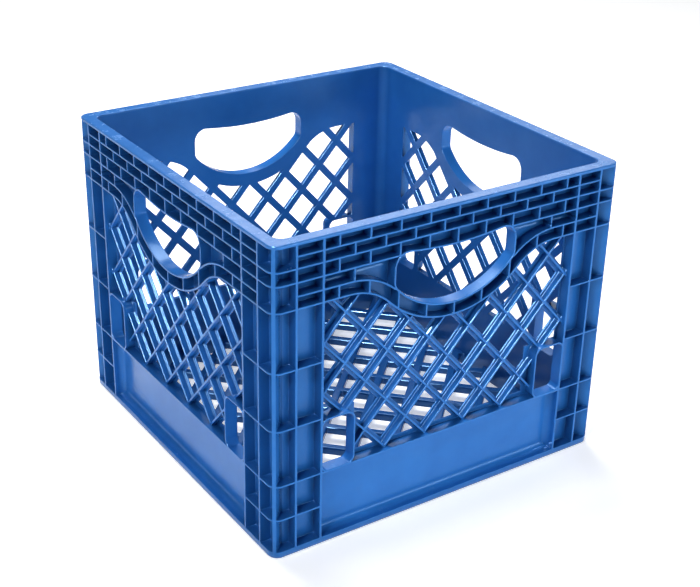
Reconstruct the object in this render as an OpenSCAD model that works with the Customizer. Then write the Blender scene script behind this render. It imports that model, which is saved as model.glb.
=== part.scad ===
// Square stacking crate for milk bottles: open brick-and-lattice walls, four hand holes, grid floor.
// Origin: centre of the underside. +Z up, front wall faces -Y. Millimetres.

/* [Crate] */
// Outside width of every side
crate_w = 330; // [326:1:336]
// Overall height
crate_h = 267; // [264:1:272]
// Outside corner radius in plan
corner_r = 9; // [6:1:12]
// Full thickness of a wall, from rib edge to inner face
wall_t = 11; // [10.5:0.5:12]
// Depth of the open pockets between the ribs
pocket_depth = 9.5; // [8:0.5:9.5]

/* [Ribs] */
// Thickness of the brick-pattern ribs and plates
rib_t = 1.6; // [1.2:0.2:2.2]
// Thickness of the upright ribs beside the corner posts
post_rib_t = 2.2; // [1.6:0.2:2.8]
// Height of the solid rim at the top
rim_t = 2.8; // [2:0.2:4]
// Height of the solid foot ring at the bottom
foot_t = 6.5; // [5:0.5:8]

/* [Hand holes] */
// Half width of the hand hole, to the middle of its wall
hand_half_w = 58; // [54:1:62]
// Height of the top of the hand hole at its corners
hand_top = 233.7; // [233:0.1:234]
// Radius of the round bottom of the hand hole
hand_bottom_r = 76; // [75:1:77]

/* [Lattice] */
// Width of the flat bars on the inside
lattice_bar_w = 7; // [5:0.5:9]
// Thickness of the upstanding blades on the bars
blade_t = 1.8; // [1.2:0.2:2.6]
// How far the blades stop short of the outer face
blade_setback = 4; // [2:0.5:6]

/* [Floor] */
// Width of the floor bars
floor_bar_w = 7.5; // [5:0.5:9]
// Height of the floor bars
floor_bar_h = 7.5; // [6:0.5:10]

/* [Hidden] */

$fn = 64;
rim_blue = [0.44, 0.64, 0.90];
wall_blue = [0.20, 0.46, 0.80];
grid_blue = [0.24, 0.50, 0.85];
skirt_blue = [0.26, 0.52, 0.84];

half_w = crate_w / 2;
inner_half = half_w - wall_t;
inner_corner_r = 8;
rim_z = crate_h - rim_t;

// Upright ribs, measured from the middle of a side
post_rib_s = 121.4;
cell_rib_s = 144.2;
cell_rib_t = 2;
bay_half = post_rib_s - post_rib_t / 2;

// Heights of the horizontal ribs
course_1 = 255.7;
course_2 = 246.3;
course_3 = 235.4;
course_4 = 224.4;
course_5 = 214.3;
post_plates = [course_1, course_2, course_3, course_4, course_5, 165, 115.8, 66.9, 36.1];
corner_plates = [course_2, course_3, course_5, 165, 115.8, 66.9, 36.1];
shelf_z = 66.9;
shelf_t = 2;
brick = 27;

// Hand hole outline: wide arc above, round bottom, softened corners
hand_top_r = 308;
hand_top_cz = hand_top + hand_top_r;
hand_bottom_cz = 259.5;
hand_upper_r = 12;
hand_lower_r = 9;
hand_cut_z = hand_top - rib_t / 2;

// Ribs that swing under the hand hole
low_r = 88;
low_cz = 260.9;
low_side_r = 50;
up_side_s = 98;
up_side_r = 60;

// Lattice of crossing diagonals
lattice_ds = 39.5;
lattice_dz = 43.4;
lattice_z = 133.5;
lattice_angle = atan2(lattice_dz, lattice_ds);
lattice_margin = 5;
shelf_margin = 3.5;
post_margin = 1.2;
overlap = 1;

// Windows at the lower ends of the lattice
window_s = 91.5;
window_top = 114;
window_r = 7;

// Floor grid
floor_z = 6.5;
floor_step = 46.3;

skirt_fillet = 6;
core_t = 2;
web_t = 3;

// ---------- helpers ----------

function arc(c, r, a, b, n) = [for (i = [0 : n]) c + r * [cos(a + (b - a) * i / n), sin(a + (b - a) * i / n)]];
function flip(p) = [for (i = [len(p) - 1 : -1 : 0]) [-p[i][0], p[i][1]]];

// Distance along the wall at which the side arcs of the low rib are centred
low_side_s = sqrt(pow(low_r + low_side_r, 2) - pow(low_cz - course_5 + low_side_r, 2));

// Upper boundary line of the low rib, moved up by g, from the left end to the right end
function low_line(g, reach) =
    let (
        side = [low_side_s, course_5 - low_side_r],
        tilt = atan2(low_cz - side[1], -side[0]),
        right = arc([0, low_cz], low_r - g, -90, tilt - 180, 14),
        hump = arc(side, low_side_r + g, tilt, 90, 10)
    )
    let (half = concat(right, [for (i = [1 : len(hump) - 1]) hump[i]], [[reach, course_5 + g]]))
    concat(flip([for (i = [1 : len(half) - 1]) half[i]]), half);

// Line of the upper rib on the right-hand side, from its flat end to the hand hole, moved up by g
function up_line(g, reach) =
    let (
        side = [up_side_s, course_4 - up_side_r],
        stop = 180 - acos((up_side_s - hand_half_w) / (up_side_r + g))
    )
    concat([[reach, course_4 + g]], arc(side, up_side_r + g, 90, stop, 10));

// Outline of the hand hole, grown by g from the middle of its wall
module hand_outline(g) {
    top_s = hand_half_w - hand_upper_r;
    top_z = hand_top_cz - sqrt(pow(hand_top_r + hand_upper_r, 2) - top_s * top_s);
    low_s = hand_half_w - hand_lower_r;
    low_z = hand_bottom_cz - sqrt(pow(hand_bottom_r - hand_lower_r, 2) - low_s * low_s);
    low_a = atan2(low_z - hand_bottom_cz, low_s);
    top_a = atan2(hand_top_cz - top_z, -top_s);
    half = concat(
        arc([0, hand_bottom_cz], hand_bottom_r + g, -90, low_a, 14),
        arc([low_s, low_z], hand_lower_r + g, low_a + 6, 0, 6),
        arc([top_s, top_z], hand_upper_r + g, 0, top_a, 8),
        arc([0, hand_top_cz], hand_top_r - g, top_a - 180 - 1.2, -90, 6)
    );
    polygon(concat(half, [for (i = [len(half) - 2 : -1 : 1]) [-half[i][0], half[i][1]]]));
}

// A wall outline given as (along, height), made solid between two depths behind the outer face
module slab(front, back) {
    translate([0, back - half_w, 0])
        rotate([90, 0, 0])
            linear_extrude(back - front)
                children();
}

// Turns a piece of the front wall to wall k: 0 front, 1 right, 2 back, 3 left
module on_wall(k) {
    rotate([0, 0, 90 * k])
        children();
}

module span(half, low, high) {
    translate([-half, low])
        square([2 * half, high - low]);
}

// Upright brick joints at s, between two heights
module joints_at(places, low, high) {
    for (s = places)
        translate([s - rib_t / 2, low])
            square([rib_t, high - low]);
}

module both_sides() {
    children();
    mirror([1, 0])
        children();
}

// ---------- outlines of the wall ----------

module course_pockets(low, high, places) {
    difference() {
        span(bay_half + overlap, low + rib_t / 2, high - rib_t / 2);
        joints_at(places, low, high);
    }
}

whole_joints = [for (i = [-4 : 4]) i * brick];
half_joints = [for (i = [-3.5 : 3.5]) i * brick];

// The third course rests on the hand hole's arch instead of a straight rib
module third_course_pockets() {
    difference() {
        union() {
            span(bay_half + overlap, course_3 + rib_t / 2, course_2 - rib_t / 2);
            span(30, hand_top, course_3 + rib_t);
        }
        joints_at(whole_joints, hand_top, course_2);
        hand_outline(rib_t / 2);
    }
}

module fourth_course_pockets() {
    difference() {
        both_sides()
            polygon(concat(
                [[hand_half_w - hand_upper_r, course_3 - rib_t / 2]],
                [[bay_half + overlap, course_3 - rib_t / 2]],
                up_line(rib_t / 2, bay_half + overlap),
                [[0, hand_bottom_cz - hand_bottom_r]]
            ));
        joints_at([-3.5 * brick, 3.5 * brick], course_4, course_3);
        hand_outline(rib_t / 2);
    }
}

module fifth_course_pockets() {
    difference() {
        polygon(concat(
            low_line(rib_t / 2, bay_half + overlap),
            up_line(-rib_t / 2, bay_half + overlap),
            flip(up_line(-rib_t / 2, bay_half + overlap))
        ));
        joints_at(whole_joints, course_5 - 50, course_4);
        hand_outline(rib_t / 2);
    }
}

module handle_region() {
    polygon(concat(
        low_line(-rib_t / 2, bay_half),
        [[bay_half, hand_cut_z], [-bay_half, hand_cut_z]]
    ));
}

module lattice_region() {
    polygon(concat(
        low_line(-rib_t / 2, bay_half),
        [[bay_half, shelf_z + shelf_t / 2], [-bay_half, shelf_z + shelf_t / 2]]
    ));
}

module window_outline(g) {
    low = shelf_z - g;
    high = window_top + g;
    left = window_s - g;
    right = post_rib_s + g;
    r = window_r + g;
    translate([left + r, low])
        square([right - left - 2 * r, high - low]);
    translate([left, low + r])
        square([right - left, high - low - 2 * r]);
    for (s = [left + r, right - r], z = [low + r, high - r])
        translate([s, z])
            circle(r);
}

module diagonals(width) {
    reach = 400;
    for (i = [-6 : 6], side = [-1, 1])
        translate([i * lattice_ds, lattice_z])
            rotate(side * lattice_angle)
                square([reach, width], center = true);
}

module lattice_open_region() {
    difference() {
        lattice_region();
        both_sides()
            window_outline(rib_t / 2);
    }
}

// ---------- walls ----------

// Three straight courses of brick-shaped pockets above the hand hole
module brick_band() {
    difference() {
        slab(0, wall_t)
            difference() {
                span(bay_half, hand_cut_z, rim_z);
                hand_outline(-rib_t / 2);
            }
        slab(-overlap, pocket_depth) {
            course_pockets(course_1, rim_z + 2 * rib_t, whole_joints);
            course_pockets(course_2, course_1, half_joints);
            third_course_pockets();
            fourth_course_pockets();
        }
    }
}

// Sleeve of the hand hole with the curved courses that swing below it
module handle_frame() {
    difference() {
        slab(0, wall_t)
            difference() {
                handle_region();
                hand_outline(-rib_t / 2);
            }
        slab(-overlap, pocket_depth) {
            fourth_course_pockets();
            fifth_course_pockets();
        }
    }
}

// Diamond lattice: flat bars inside, thin blades standing out of them, and two framed windows
module lattice() {
    slab(pocket_depth, wall_t)
        intersection() {
            lattice_open_region();
            union() {
                diagonals(lattice_bar_w);
                span(bay_half, shelf_z, shelf_z + shelf_t / 2 + shelf_margin);
                both_sides()
                    translate([bay_half - post_margin, shelf_z])
                        square([post_margin, course_5 - shelf_z]);
                both_sides()
                    translate([window_s - rib_t / 2 - lattice_margin, shelf_z])
                        square([post_rib_s - window_s + lattice_margin, window_top + rib_t / 2 - shelf_z]);
            }
        }
    slab(blade_setback, pocket_depth + overlap / 2)
        intersection() {
            lattice_open_region();
            diagonals(blade_t);
        }
    slab(0, wall_t)
        intersection() {
            lattice_region();
            both_sides()
                difference() {
                    window_outline(rib_t / 2);
                    window_outline(-rib_t / 2);
                }
        }
}

// Cove with a quarter-round hollow, its square corner at the origin
module cove(length) {
    linear_extrude(length)
        difference() {
            square(skirt_fillet);
            translate([skirt_fillet, skirt_fillet])
                circle(skirt_fillet);
        }
}

// Plain recessed panel under a full-depth shelf, coved at its ends and foot
module skirt() {
    shelf_low = shelf_z - shelf_t / 2;
    floor_y = pocket_depth - half_w;
    slab(0, wall_t)
        span(bay_half, shelf_low, shelf_z + shelf_t / 2);
    slab(pocket_depth, wall_t)
        span(bay_half, foot_t, shelf_z);
    intersection() {
        slab(0, wall_t)
            span(bay_half, foot_t, shelf_z);
        union() {
            translate([-bay_half, floor_y, foot_t])
                rotate([0, 0, -90])
                    cove(shelf_low - foot_t);
            translate([bay_half, floor_y, foot_t])
                rotate([0, 0, 180])
                    cove(shelf_low - foot_t);
            translate([-bay_half, floor_y, foot_t])
                rotate([90, 0, 90])
                    mirror([1, 0, 0])
                        cove(2 * bay_half);
        }
    }
}

// ---------- rings, posts and floor ----------

module rounded_square(half, r) {
    span(half, -(half - r), half - r);
    span(half - r, -half, half);
    for (x = [-1, 1], y = [-1, 1])
        translate([x * (half - r), y * (half - r)])
            circle(r);
}

module ring_outline() {
    difference() {
        rounded_square(half_w, corner_r);
        rounded_square(inner_half, inner_corner_r);
    }
}

// The corner at -X -Y, seen from above, as far as the inner edge of its two upright ribs
module corner_window() {
    translate([-half_w, -half_w])
        square(half_w - bay_half);
}

// Upright walls of a post: thin L-shaped core, chamfered at the corner, with its ribs
module post_uprights() {
    core_half = half_w - pocket_depth;
    core_diag = (inner_half - inner_corner_r) + inner_corner_r / sqrt(2) + core_t / sqrt(2);
    chamfer = 2 * (core_half - core_diag);
    intersection() {
        ring_outline();
        union() {
            difference() {
                translate([-core_half, -core_half])
                    square(core_half - bay_half);
                polygon([
                    [-core_half - overlap, -core_half - overlap],
                    [-core_half + chamfer + overlap, -core_half - overlap],
                    [-core_half - overlap, -core_half + chamfer + overlap]
                ]);
            }
            for (s = [[post_rib_s, post_rib_t], [cell_rib_s, cell_rib_t]]) {
                translate([-s[0] - s[1] / 2, -half_w])
                    square([s[1], wall_t]);
                translate([-half_w, -s[0] - s[1] / 2])
                    square([wall_t, s[1]]);
            }
            translate([-half_w, -half_w])
                rotate(45)
                    translate([0, -web_t / 2])
                        square([(half_w - core_diag) * sqrt(2) + overlap / 2, web_t]);
        }
    }
}

module plate(z) {
    translate([0, 0, z - rib_t / 2])
        linear_extrude(rib_t)
            children();
}

// Plates between the two upright ribs on both faces of the corner
module post_plate_outline() {
    intersection() {
        ring_outline();
        union() {
            translate([-cell_rib_s, -half_w])
                square([cell_rib_s - post_rib_s, wall_t]);
            translate([-half_w, -cell_rib_s])
                square([wall_t, cell_rib_s - post_rib_s]);
        }
    }
}

module corner_plate_outline() {
    intersection() {
        ring_outline();
        translate([-half_w, -half_w])
            square(half_w - cell_rib_s);
    }
}

module corner_post() {
    translate([0, 0, foot_t])
        linear_extrude(rim_z - foot_t)
            intersection() {
                corner_window();
                post_uprights();
            }
    for (z = post_plates)
        plate(z)
            post_plate_outline();
    for (z = corner_plates)
        plate(z)
            corner_plate_outline();
}

// Bars along both diagonals; the second set is shifted by half a step
module floor_bars() {
    reach = 440;
    for (i = [-6 : 6])
        rotate(45)
            translate([0, i * floor_step / sqrt(2)])
                square([reach, floor_bar_w], center = true);
    for (i = [-5.5 : 5.5])
        rotate(-45)
            translate([0, i * floor_step / sqrt(2)])
                square([reach, floor_bar_w], center = true);
}

// ---------- named sub-parts ----------

module top_rim() {
    color(rim_blue)
        translate([0, 0, rim_z])
            linear_extrude(rim_t)
                ring_outline();
}

module base_ring() {
    color(skirt_blue)
        linear_extrude(foot_t)
            ring_outline();
}

module floor_grid() {
    color(grid_blue)
        translate([0, 0, floor_z])
            linear_extrude(floor_bar_h)
                intersection() {
                    rounded_square(inner_half, inner_corner_r);
                    floor_bars();
                }
}

module post_piece(k) {
    color(wall_blue)
        on_wall(k)
            corner_post();
}

module front_left_post() {
    post_piece(0);
}

module front_right_post() {
    post_piece(1);
}

module back_right_post() {
    post_piece(2);
}

module back_left_post() {
    post_piece(3);
}

module brick_piece(k) {
    color(wall_blue)
        on_wall(k)
            brick_band();
}

module front_brick_band() {
    brick_piece(0);
}

module right_brick_band() {
    brick_piece(1);
}

module back_brick_band() {
    brick_piece(2);
}

module left_brick_band() {
    brick_piece(3);
}

module handle_piece(k) {
    color(grid_blue)
        on_wall(k)
            handle_frame();
}

module front_handle_frame() {
    handle_piece(0);
}

module right_handle_frame() {
    handle_piece(1);
}

module back_handle_frame() {
    handle_piece(2);
}

module left_handle_frame() {
    handle_piece(3);
}

module lattice_piece(k) {
    color(grid_blue)
        on_wall(k)
            lattice();
}

module front_lattice() {
    lattice_piece(0);
}

module right_lattice() {
    lattice_piece(1);
}

module back_lattice() {
    lattice_piece(2);
}

module left_lattice() {
    lattice_piece(3);
}

module skirt_piece(k) {
    color(skirt_blue)
        on_wall(k)
            skirt();
}

module front_skirt() {
    skirt_piece(0);
}

module right_skirt() {
    skirt_piece(1);
}

module back_skirt() {
    skirt_piece(2);
}

module left_skirt() {
    skirt_piece(3);
}

top_rim();
base_ring();
floor_grid();
front_left_post();
front_right_post();
back_right_post();
back_left_post();
front_brick_band();
right_brick_band();
back_brick_band();
left_brick_band();
front_handle_frame();
right_handle_frame();
back_handle_frame();
left_handle_frame();
front_lattice();
right_lattice();
back_lattice();
left_lattice();
front_skirt();
right_skirt();
back_skirt();
left_skirt();
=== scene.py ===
import math

import bmesh
import bpy
from mathutils import Matrix, Vector
from mathutils.geometry import intersect_line_line, intersect_line_line_2d


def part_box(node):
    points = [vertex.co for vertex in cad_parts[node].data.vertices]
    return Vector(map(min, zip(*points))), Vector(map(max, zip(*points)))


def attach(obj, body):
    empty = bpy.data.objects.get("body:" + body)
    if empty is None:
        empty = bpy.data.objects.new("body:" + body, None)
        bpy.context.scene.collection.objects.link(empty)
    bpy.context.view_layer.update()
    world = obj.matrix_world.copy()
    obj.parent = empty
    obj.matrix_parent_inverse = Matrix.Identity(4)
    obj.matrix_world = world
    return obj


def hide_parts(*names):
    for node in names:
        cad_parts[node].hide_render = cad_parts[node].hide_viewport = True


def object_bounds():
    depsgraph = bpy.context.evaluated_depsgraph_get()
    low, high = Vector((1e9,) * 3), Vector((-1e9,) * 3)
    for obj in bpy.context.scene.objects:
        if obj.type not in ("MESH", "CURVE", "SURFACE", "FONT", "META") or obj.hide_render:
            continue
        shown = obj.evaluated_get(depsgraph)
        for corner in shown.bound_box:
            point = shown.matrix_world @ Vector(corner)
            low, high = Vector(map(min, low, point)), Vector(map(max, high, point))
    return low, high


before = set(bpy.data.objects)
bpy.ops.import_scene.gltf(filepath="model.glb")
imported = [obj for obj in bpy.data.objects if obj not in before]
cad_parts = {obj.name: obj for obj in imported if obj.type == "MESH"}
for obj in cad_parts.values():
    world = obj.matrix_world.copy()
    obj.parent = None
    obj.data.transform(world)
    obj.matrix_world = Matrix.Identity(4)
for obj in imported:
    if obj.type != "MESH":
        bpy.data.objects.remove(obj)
CAD_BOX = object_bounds()

MM = 0.001
WALLS = ("front", "right", "back", "left")
WALL_PARTS = ("brick_band", "handle_frame", "lattice", "skirt")
POSTS = ("front_left_post", "front_right_post", "back_right_post", "back_left_post")
HALF = CAD_BOX[1].x
TOP = CAD_BOX[1].z

# The moulding is divided into pieces through the middle of its ribs, where no edge is disturbed
POST_CUT = 121.4 * MM
RIM_CUT = TOP - 1.4 * MM
FOOT_CUT = 3.2 * MM
BAND_CUT = 229.0 * MM
SHELF_CUT = 66.9 * MM

# Middle line of the curved rib between the hand hole's courses and the lattice
LOW_R = 88.0 * MM
LOW_CENTRE_Z = 260.9 * MM
LOW_FLAT = 214.3 * MM
LOW_SIDE_R = 50.0 * MM
LOW_SIDE_S = math.sqrt((LOW_R + LOW_SIDE_R) ** 2 - (LOW_CENTRE_Z - LOW_FLAT + LOW_SIDE_R) ** 2)

# Radii of the moulded edges
EDGE_ROUND = 0.45 * MM
RIM_ROUND = 1.1 * MM
FOOT_ROUND = 2.4 * MM
FLOOR_ROUND = 1.7 * MM
ROUND_ANGLE = math.radians(30)
RUN_ANGLE = math.radians(150)
CORNER_ROOM = 1.6 * MM
LATTICE_ROOM = 0.4 * MM
FLOOR_ROOM = 2.5 * MM
TIGHT_ROOM = 1.2 * MM
ROUND_TRIES = 6
FOLD_AREA = 0.2 * MM * MM

# Limits and counts of the mesh work
EDGE_SEGMENTS = 2
WIDE_SEGMENTS = 4
FLAT_ANGLE = math.radians(0.5)
SHADE_ANGLE = math.radians(50)
WELD_PASSES = 3
RIB_LINE_PARTS = 60
BAR_END = 4 * MM
UPRIGHT = 0.5
MARGIN = 20 * MM
ON_PLANE = 0.02 * MM
MERGE = 0.001 * MM


# ---------- mesh helpers ----------

def new_object(name, mesh):
    obj = bpy.data.objects.new(name, mesh)
    bpy.context.scene.collection.objects.link(obj)
    return obj


def mesh_from(bm, name):
    mesh = bpy.data.meshes.new(name)
    bm.to_mesh(mesh)
    bm.free()
    return mesh


def copied_node(node):
    """A separate, closed copy of a CAD node."""
    bm = bmesh.new()
    bm.from_mesh(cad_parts[node].data)
    bmesh.ops.remove_doubles(bm, verts=bm.verts, dist=MERGE)
    return new_object(node + "_copy", mesh_from(bm, node))


def evaluated_mesh(obj):
    graph = bpy.context.evaluated_depsgraph_get()
    return bpy.data.meshes.new_from_object(obj.evaluated_get(graph))


def combined(obj, other, operation):
    modifier = obj.modifiers.new("combine", "BOOLEAN")
    modifier.operation = operation
    modifier.solver = "MANIFOLD"
    modifier.object = other
    mesh = evaluated_mesh(obj)
    obj.modifiers.clear()
    bpy.data.objects.remove(other)
    return mesh


def joined(nodes):
    whole = copied_node(nodes[0])
    for node in nodes[1:]:
        whole.data = combined(whole, copied_node(node), "UNION")
    return whole


def prism(outline, turn):
    """The space behind and before an outline (along, height) of the front wall, turned to another wall."""
    bm = bmesh.new()
    front = [bm.verts.new((s, -HALF - MARGIN, z)) for s, z in outline]
    back = [bm.verts.new((s, -HALF + MARGIN, z)) for s, z in outline]
    bm.faces.new(front)
    bm.faces.new(back[::-1])
    for i in range(len(outline)):
        bm.faces.new((front[i], front[i - 1], back[i - 1], back[i]))
    bmesh.ops.recalc_face_normals(bm, faces=bm.faces)
    bm.transform(Matrix.Rotation(turn, 4, "Z"))
    return new_object("region", mesh_from(bm, "region"))


def block(low, high):
    bm = bmesh.new()
    bmesh.ops.create_cube(bm, size=1)
    size = [b - a for a, b in zip(low, high)]
    middle = [(a + b) / 2 for a, b in zip(low, high)]
    bm.transform(Matrix.Translation(middle) @ Matrix.Diagonal((*size, 1)))
    return new_object("region", mesh_from(bm, "region"))


# ---------- dividing surfaces ----------

def low_rib_height(s):
    s = abs(s)
    if s < LOW_SIDE_S * LOW_R / (LOW_R + LOW_SIDE_R):
        return LOW_CENTRE_Z - math.sqrt(LOW_R ** 2 - s * s)
    if s < LOW_SIDE_S:
        return LOW_FLAT - LOW_SIDE_R + math.sqrt(LOW_SIDE_R ** 2 - (s - LOW_SIDE_S) ** 2)
    return LOW_FLAT


def low_rib_line():
    places = [POST_CUT * (2 * i / RIB_LINE_PARTS - 1) for i in range(RIB_LINE_PARTS + 1)]
    return [(s, low_rib_height(s)) for s in places]


LOW_RIB_LINE = low_rib_line()


def low_rib_cut(s):
    """Height at which the faceted dividing surface along the low rib lies."""
    for (a, low), (b, high) in zip(LOW_RIB_LINE, LOW_RIB_LINE[1:]):
        if a <= s <= b:
            return low + (high - low) * (s - a) / (b - a)
    return LOW_FLAT


def rectangle(low, high):
    return [(-POST_CUT, low), (POST_CUT, low), (POST_CUT, high), (-POST_CUT, high)]


def wall_outlines():
    line = LOW_RIB_LINE
    return {
        "brick_band": rectangle(BAND_CUT, RIM_CUT),
        "handle_frame": line + [(POST_CUT, BAND_CUT), (-POST_CUT, BAND_CUT)],
        "lattice": [(-POST_CUT, SHELF_CUT), (POST_CUT, SHELF_CUT)] + line[::-1],
        "skirt": rectangle(FOOT_CUT, SHELF_CUT),
    }


def near(value, *places):
    return any(abs(value - place) < ON_PLANE for place in places)


def is_cut_face(face):
    """True for a face where the moulding was divided, which meets the next piece."""
    points = [v.co for v in face.verts]
    for axis in (0, 1):
        if all(near(abs(p[axis]), POST_CUT) for p in points):
            return True
    if all(near(p.z, RIM_CUT) for p in points) or all(near(p.z, FOOT_CUT) for p in points):
        return True
    if all(near(p.z, BAND_CUT) for p in points) or all(near(p.z, SHELF_CUT) for p in points):
        return True
    return all(near(p.z, low_rib_cut(min(p.x, p.y, key=abs))) for p in points)


# ---------- rounded edges ----------

def sharp_edges(vert):
    return [e for e in vert.link_edges if len(e.link_faces) == 2 and e.calc_face_angle() > ROUND_ANGLE]


def lies_on_run(vert):
    """True for a point along a straight or gently curved edge, not at a corner."""
    sharp = sharp_edges(vert)
    if len(sharp) != 2:
        return False
    a, b = (e.other_vert(vert).co - vert.co for e in sharp)
    return a.length > 0 and b.length > 0 and a.angle(b) > RUN_ANGLE


def stray_points(bm, room):
    """Points of curved edges that lie too near a corner for it to be rounded, each with its corner."""
    run = {vert for vert in bm.verts if lies_on_run(vert)}
    strays = {}
    for vert in run:
        for edge in sharp_edges(vert):
            other = edge.other_vert(vert)
            if other not in run and edge.calc_length() < room:
                strays[vert] = other
    return strays


def cleaned(mesh, room):
    """An editable copy without needless points."""
    bm = bmesh.new()
    bm.from_mesh(mesh)
    bmesh.ops.dissolve_degenerate(bm, dist=MERGE, edges=bm.edges)
    bmesh.ops.dissolve_limit(bm, angle_limit=FLAT_ANGLE, verts=bm.verts, edges=bm.edges)
    for _ in range(WELD_PASSES):
        bmesh.ops.weld_verts(bm, targetmap=stray_points(bm, room))
    return bm


def crossings(face):
    """Points where the outline of a face crosses itself."""
    axis = max(range(3), key=lambda i: abs(face.normal[i]))
    flat = [Vector(c for i, c in enumerate(vert.co) if i != axis) for vert in face.verts]
    count = len(flat)
    found = []
    for i in range(count):
        for j in range(i + 2, count):
            if i == 0 and j == count - 1:
                continue
            ends = (i, (i + 1) % count, j, (j + 1) % count)
            if intersect_line_line_2d(*(flat[k] for k in ends)) is None:
                continue
            spot = intersect_line_line(*(face.verts[k].co for k in ends))
            if spot:
                found.append(spot[0].copy())
    return found


def faults(bm):
    """Points where rounding has torn the surface or folded a face."""
    bm.normal_update()
    torn = [vert.co.copy() for edge in bm.edges if len(edge.link_faces) != 2 for vert in edge.verts]
    spread = {}
    for corner, *others in bm.calc_loop_triangles():
        sides = [other.vert.co - corner.vert.co for other in others]
        spread[corner.face] = spread.get(corner.face, 0) + sides[0].cross(sides[1]).length / 2
    for face, area in spread.items():
        if area - face.calc_area() > FOLD_AREA:
            torn += crossings(face)
    return torn


def rounded(mesh, width, segments=EDGE_SEGMENTS, chosen=None, is_cut=is_cut_face, room=CORNER_ROOM):
    """The mesh with its sharp edges rounded, apart from cut faces and corners too tight for it.

    Edges near a fault stay sharp in the next try, and the last try is kept even if it has faults.
    """
    tight = []
    for _ in range(ROUND_TRIES):
        bm = cleaned(mesh, room)
        cuts = {face for face in bm.faces if is_cut(face)}
        edges = [
            edge for edge in bm.edges
            if len(edge.link_faces) == 2
            and cuts.isdisjoint(edge.link_faces)
            and edge.calc_face_angle() > ROUND_ANGLE
            and (chosen is None or chosen(edge))
            and not any((vert.co - point).length < TIGHT_ROOM for vert in edge.verts for point in tight)
        ]
        bmesh.ops.bevel(
            bm, geom=edges, offset=width, offset_type="OFFSET", segments=segments, profile=0.5,
            affect="EDGES", clamp_overlap=False, loop_slide=False,
        )
        torn = faults(bm)
        if not torn:
            break
        tight += torn
    return mesh_from(bm, "rounded")


def at_height(z):
    return lambda edge: all(abs(v.co.z - z) < ON_PLANE for v in edge.verts)


def finished(name, node, mesh):
    """Shades a mesh and puts it in place of its CAD node."""
    mesh.name = name
    for face in mesh.polygons:
        face.use_smooth = True
    mesh.set_sharp_from_angle(angle=SHADE_ANGLE)
    piece = new_object(name, mesh)
    weigh = piece.modifiers.new("weighted_normals", "WEIGHTED_NORMAL")
    weigh.keep_sharp = True
    weigh.mode = "FACE_AREA"
    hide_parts(node)
    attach(piece, "root")
    return piece


# ---------- pieces ----------

def make_walls(whole):
    pieces = []
    for k, wall in enumerate(WALLS):
        for part, outline in wall_outlines().items():
            mesh = combined(whole, prism(outline, k * math.pi / 2), "INTERSECT")
            room = LATTICE_ROOM if part == "lattice" else CORNER_ROOM
            mesh = rounded(mesh, EDGE_ROUND, room=room)
            pieces.append(finished(f"{wall}_{part}_moulding", f"{wall}_{part}", mesh))
    return pieces


def make_posts(whole):
    pieces = []
    for k, post in enumerate(POSTS):
        region = block((-HALF - MARGIN, -HALF - MARGIN, FOOT_CUT), (-POST_CUT, -POST_CUT, RIM_CUT))
        region.data.transform(Matrix.Rotation(k * math.pi / 2, 4, "Z"))
        mesh = combined(whole, region, "INTERSECT")
        pieces.append(finished(post + "_moulding", post, rounded(mesh, EDGE_ROUND)))
    return pieces


def make_ring(whole, node, low, high, edge_z, width):
    far = HALF + MARGIN
    mesh = combined(whole, block((-far, -far, low), (far, far, high)), "INTERSECT")
    mesh = rounded(mesh, width, segments=WIDE_SEGMENTS, chosen=at_height(edge_z))
    return finished(node + "_moulding", node, mesh)


def make_floor():
    end_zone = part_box("floor_grid")[1].x - ON_PLANE - BAR_END
    obj = copied_node("floor_grid")

    def is_end(face):
        """True for the upright end of a bar, which meets a wall."""
        at_wall = all(max(abs(v.co.x), abs(v.co.y)) > end_zone for v in face.verts)
        return at_wall and abs(face.normal.z) < UPRIGHT

    mesh = rounded(obj.data, FLOOR_ROUND, segments=WIDE_SEGMENTS, is_cut=is_end, room=FLOOR_ROOM)
    bpy.data.objects.remove(obj)
    return finished("floor_grid_moulding", "floor_grid", mesh)


# ---------- materials ----------

# Noise sizes, as repeats per metre, and the middle of a noise's values
NOISE_SPAN = (0.3, 0.7)
MOTTLE_SCALE = 28.0
SCUFF_SCALE = 90.0
GLOSS_SCALE = 140.0
GRAIN_SCALE = 260.0

# Gloss, with a blue tint because the photograph's highlights are blue
ROUGHNESS = (0.17, 0.27)
WORN_ROUGHNESS = 0.1
GLOSS_LEVEL = 0.45
GLOSS_TINT = (0.3, 0.6, 1.0, 1)
PLASTIC_IOR = 1.54
GRAIN_STRENGTH = 0.05
GRAIN_DEPTH = 0.4 * MM

# Wear, which is a guess, and painted shade that darkens narrow recesses and the low inside of the
# crate. Wear and darkening, which are guesses: the photograph's dark places may be only shade
UPWARD = (0.7, 0.98)
SCUFF_FADE = 0.22
PAINTED_SHADE_REACH = 26 * MM
PAINTED_SHADE_SHARE = (0.3, 0.85)
PAINTED_SHADE_TONE = 0.5
PAINTED_SHADE_SAMPLES = 8
INNER = HALF - 11 * MM
INTERIOR_SHADE_FADE = (INNER + 0.3 * MM, INNER + 1.3 * MM)
INTERIOR_SHADE_HEIGHTS = (0.03, 0.17)
INTERIOR_SHADE_MOST = 0.65
INTERIOR_SHADE_COLOUR = (0.006, 0.036, 0.13)


def noise(tree, coords, scale, detail=4.0, roughness=0.55):
    node = tree.nodes.new("ShaderNodeTexNoise")
    node.inputs["Scale"].default_value = scale
    node.inputs["Detail"].default_value = detail
    node.inputs["Roughness"].default_value = roughness
    tree.links.new(coords, node.inputs["Vector"])
    return node.outputs["Fac"]


def remap(tree, value, low, high, to_low, to_high):
    node = tree.nodes.new("ShaderNodeMapRange")
    node.inputs["From Min"].default_value = low
    node.inputs["From Max"].default_value = high
    node.inputs["To Min"].default_value = to_low
    node.inputs["To Max"].default_value = to_high
    tree.links.new(value, node.inputs["Value"])
    return node.outputs["Result"]


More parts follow.
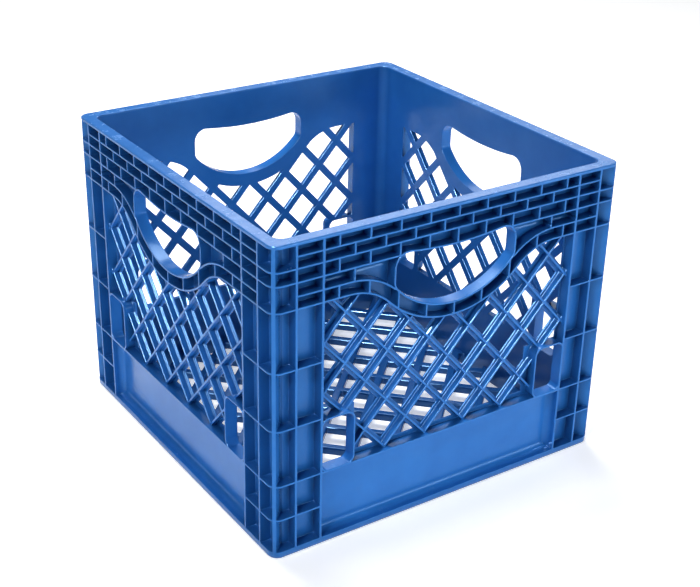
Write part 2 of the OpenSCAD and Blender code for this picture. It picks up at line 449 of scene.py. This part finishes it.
def mix_colour(tree, factor, a, b):
    node = tree.nodes.new("ShaderNodeMix")
    node.data_type = "RGBA"
    tree.links.new(factor, node.inputs["Factor"])
    for socket, colour in ((node.inputs["A"], a), (node.inputs["B"], b)):
        if isinstance(colour, tuple):
            socket.default_value = (*colour, 1)
        else:
            tree.links.new(colour, socket)
    return node.outputs["Result"]


def calculate(tree, operation, a, b=0.0):
    node = tree.nodes.new("ShaderNodeMath")
    node.operation = operation
    for socket, value in zip(node.inputs, (a, b)):
        if isinstance(value, float):
            socket.default_value = value
        else:
            tree.links.new(value, socket)
    return node.outputs["Value"]


def parts_of(tree, vector):
    node = tree.nodes.new("ShaderNodeSeparateXYZ")
    tree.links.new(vector, node.inputs["Vector"])
    return node.outputs


def painted_interior_shade(tree, coords):
    """Share of painted shade on the inside of the crate, most of it low down."""
    place = parts_of(tree, coords)
    across, along = (calculate(tree, "ABSOLUTE", place[axis]) for axis in ("X", "Y"))
    inside = remap(tree, calculate(tree, "MAXIMUM", across, along), *INTERIOR_SHADE_FADE, 1.0, 0.0)
    low = remap(tree, place["Z"], *INTERIOR_SHADE_HEIGHTS, INTERIOR_SHADE_MOST, 0.0)
    return calculate(tree, "MULTIPLY", inside, low)


def recess_painted_shade(tree, colour, deep):
    """Painted shade: darkens narrow recesses, where shade falls."""
    recess = tree.nodes.new("ShaderNodeAmbientOcclusion")
    recess.inputs["Distance"].default_value = PAINTED_SHADE_REACH
    recess.samples = PAINTED_SHADE_SAMPLES
    openness = remap(tree, recess.outputs["AO"], *PAINTED_SHADE_SHARE, 0.0, 1.0)
    return mix_colour(tree, openness, tuple(c * PAINTED_SHADE_TONE for c in deep), colour)


def rubbing(tree, coords, start):
    """Share of scuffing, in patches on faces that look up."""
    normal = tree.nodes.new("ShaderNodeNewGeometry").outputs["Normal"]
    upward = remap(tree, parts_of(tree, normal)["Z"], *UPWARD, 0.0, 1.0)
    specks = noise(tree, coords, SCUFF_SCALE, 6.0, 0.65)
    patches = remap(tree, specks, start, start + SCUFF_FADE, 0.0, 1.0)
    return calculate(tree, "MULTIPLY", upward, patches)


def plastic_colour(tree, coords, wear, deep, bright, scuff):
    mottle = remap(tree, noise(tree, coords, MOTTLE_SCALE, 5.0), *NOISE_SPAN, 0.0, 1.0)
    colour = mix_colour(tree, mottle, deep, bright)
    colour = mix_colour(tree, wear, colour, scuff)
    # Painted shade in narrow recesses
    colour = recess_painted_shade(tree, colour, deep)
    # Painted shade, darkest low down inside the crate
    return mix_colour(tree, painted_interior_shade(tree, coords), colour, INTERIOR_SHADE_COLOUR)


def plastic_roughness(tree, coords, wear):
    gloss = remap(tree, noise(tree, coords, GLOSS_SCALE, 4.0), *NOISE_SPAN, *ROUGHNESS)
    return calculate(tree, "ADD", gloss, calculate(tree, "MULTIPLY", wear, WORN_ROUGHNESS))


def grain(tree, coords):
    bump = tree.nodes.new("ShaderNodeBump")
    bump.inputs["Strength"].default_value = GRAIN_STRENGTH
    bump.inputs["Distance"].default_value = GRAIN_DEPTH
    tree.links.new(noise(tree, coords, GRAIN_SCALE, 3.0), bump.inputs["Height"])
    return bump.outputs["Normal"]


def hdpe(name, deep, bright, scuff, scuff_start):
    """Moulded polyethylene: faint mottling, gloss, painted shade in recesses and low inside, and pale
    scuffs on faces that rub.
    """
    material = bpy.data.materials.new(name)
    material.use_nodes = True
    tree = material.node_tree
    shader = tree.nodes["Principled BSDF"]
    coords = tree.nodes.new("ShaderNodeTexCoord").outputs["Object"]
    wear = rubbing(tree, coords, scuff_start)
    tree.links.new(plastic_colour(tree, coords, wear, deep, bright, scuff), shader.inputs["Base Color"])
    tree.links.new(plastic_roughness(tree, coords, wear), shader.inputs["Roughness"])
    tree.links.new(grain(tree, coords), shader.inputs["Normal"])
    shader.inputs["IOR"].default_value = PLASTIC_IOR
    shader.inputs["Specular IOR Level"].default_value = GLOSS_LEVEL
    shader.inputs["Specular Tint"].default_value = GLOSS_TINT
    return material


# ---------- studio ----------

# The camera faces along a line to the target, and is shifted a little aside of it and below it
CAMERA_ANGLES = (-34.329, 26.256, 1.362)
CAMERA_TARGET = (0, 0, 0.14)
CAMERA_DISTANCE = 1.183052
ASIDE = 0.011059
BELOW = 0.017267
CAMERA_LENS = 68.88
SENSOR_WIDTH = 36
NEAR_LIMIT = 0.01

# The table and the light of the room around it
TABLE_REACH = 6
TABLE_COLOUR = (0.9, 0.9, 0.9, 1)
TABLE_ROUGHNESS = 0.9
TABLE_GLOW_COLOUR = (0.97, 0.985, 1, 1)
TABLE_GLOW = 0.5
ROOM_COLOUR = (0.9, 0.95, 1, 1)
ROOM_LIGHT = 0.06


def make_camera():
    """The view from the front left, a little above, with a slight roll."""
    azimuth, elevation, roll = (math.radians(angle) for angle in CAMERA_ANGLES)
    level = math.cos(elevation)
    back = Vector((math.sin(azimuth) * level, -math.cos(azimuth) * level, math.sin(elevation)))
    right = (-back).cross(Vector((0, 0, 1))).normalized()
    up = right.cross(-back)
    side = right * math.cos(roll) + up * math.sin(roll)
    top = up * math.cos(roll) - right * math.sin(roll)
    data = bpy.data.cameras.new("camera")
    data.lens = CAMERA_LENS
    data.sensor_width = SENSOR_WIDTH
    data.clip_start = NEAR_LIMIT
    camera = new_object("camera", data)
    matrix = Matrix((side, top, back)).transposed().to_4x4()
    matrix.translation = Vector(CAMERA_TARGET) + back * CAMERA_DISTANCE + side * ASIDE - top * BELOW
    camera.matrix_world = matrix
    bpy.context.scene.camera = camera


def floor_material():
    """A pale table that glows a little, to stay as bright as the photograph's."""
    material = bpy.data.materials.new("pale_floor")
    material.use_nodes = True
    shader = material.node_tree.nodes["Principled BSDF"]
    shader.inputs["Base Color"].default_value = TABLE_COLOUR
    shader.inputs["Roughness"].default_value = TABLE_ROUGHNESS
    shader.inputs["Emission Color"].default_value = TABLE_GLOW_COLOUR
    shader.inputs["Emission Strength"].default_value = TABLE_GLOW
    return material


def make_light(name, place, target, size, power, gloss_only=False):
    """A rectangular light. One that is gloss_only is seen in reflections and adds no diffuse light."""
    data = bpy.data.lights.new(name, "AREA")
    data.shape = "RECTANGLE"
    data.size, data.size_y = size
    data.energy = power
    light = new_object(name, data)
    light.location = place
    light.rotation_euler = (Vector(target) - Vector(place)).to_track_quat("-Z", "Y").to_euler()
    light.visible_diffuse = not gloss_only


def make_studio():
    bm = bmesh.new()
    bmesh.ops.create_grid(bm, x_segments=1, y_segments=1, size=TABLE_REACH)
    floor = new_object("floor", mesh_from(bm, "floor"))
    floor.data.materials.append(floor_material())
    world = bpy.data.worlds.new("studio")
    world.use_nodes = True
    background = world.node_tree.nodes["Background"]
    background.inputs["Color"].default_value = ROOM_COLOUR
    background.inputs["Strength"].default_value = ROOM_LIGHT
    bpy.context.scene.world = world
    make_light("overhead_softbox", (0.1, 0.75, 1.75), (0, 0, 0.2), (1.1, 0.9), 38)
    make_light("key", (-1.18, -0.72, 1.4), (0, 0, 0.13), (0.1, 0.1), 9)
    make_light("front_fill", (0.7, -2.0, 0.25), (0, 0, 0.12), (1.6, 0.3), 20)
    make_light("edge_glint", (-1.22, -0.75, 1.45), (0, 0, 0.13), (0.14, 0.14), 260, gloss_only=True)
    make_light("rim_glint", (0.75, 0.9, 0.85), (0, -0.1, 0.267), (0.8, 0.3), 2.5, gloss_only=True)
    bpy.context.scene.view_settings.view_transform = "Standard"
    bpy.context.scene.view_settings.look = "None"


def paint(pieces, material):
    for piece in pieces:
        piece.data.materials.clear()
        piece.data.materials.append(material)


# ---------- the crate and its studio ----------

wall_nodes = [f"{wall}_{part}" for wall in WALLS for part in WALL_PARTS]
moulding = joined(["top_rim", "base_ring", *POSTS, *wall_nodes])
rings = [
    make_ring(moulding, "top_rim", RIM_CUT, TOP + MARGIN, TOP, RIM_ROUND),
    make_ring(moulding, "base_ring", -MARGIN, FOOT_CUT, 0.0, FOOT_ROUND),
]
body = make_walls(moulding) + make_posts(moulding) + [make_floor()]
bpy.data.objects.remove(moulding)

BLUE = hdpe(
    "hdpe_blue", deep=(0.018, 0.14, 0.47), bright=(0.024, 0.17, 0.54),
    scuff=(0.12, 0.30, 0.66), scuff_start=0.62,
)
RIM_BLUE = hdpe(
    "hdpe_rim", deep=(0.032, 0.16, 0.49), bright=(0.045, 0.19, 0.56),
    scuff=(0.10, 0.27, 0.63), scuff_start=0.50,
)
paint(body, BLUE)
paint(rings, RIM_BLUE)
make_camera()
make_studio()
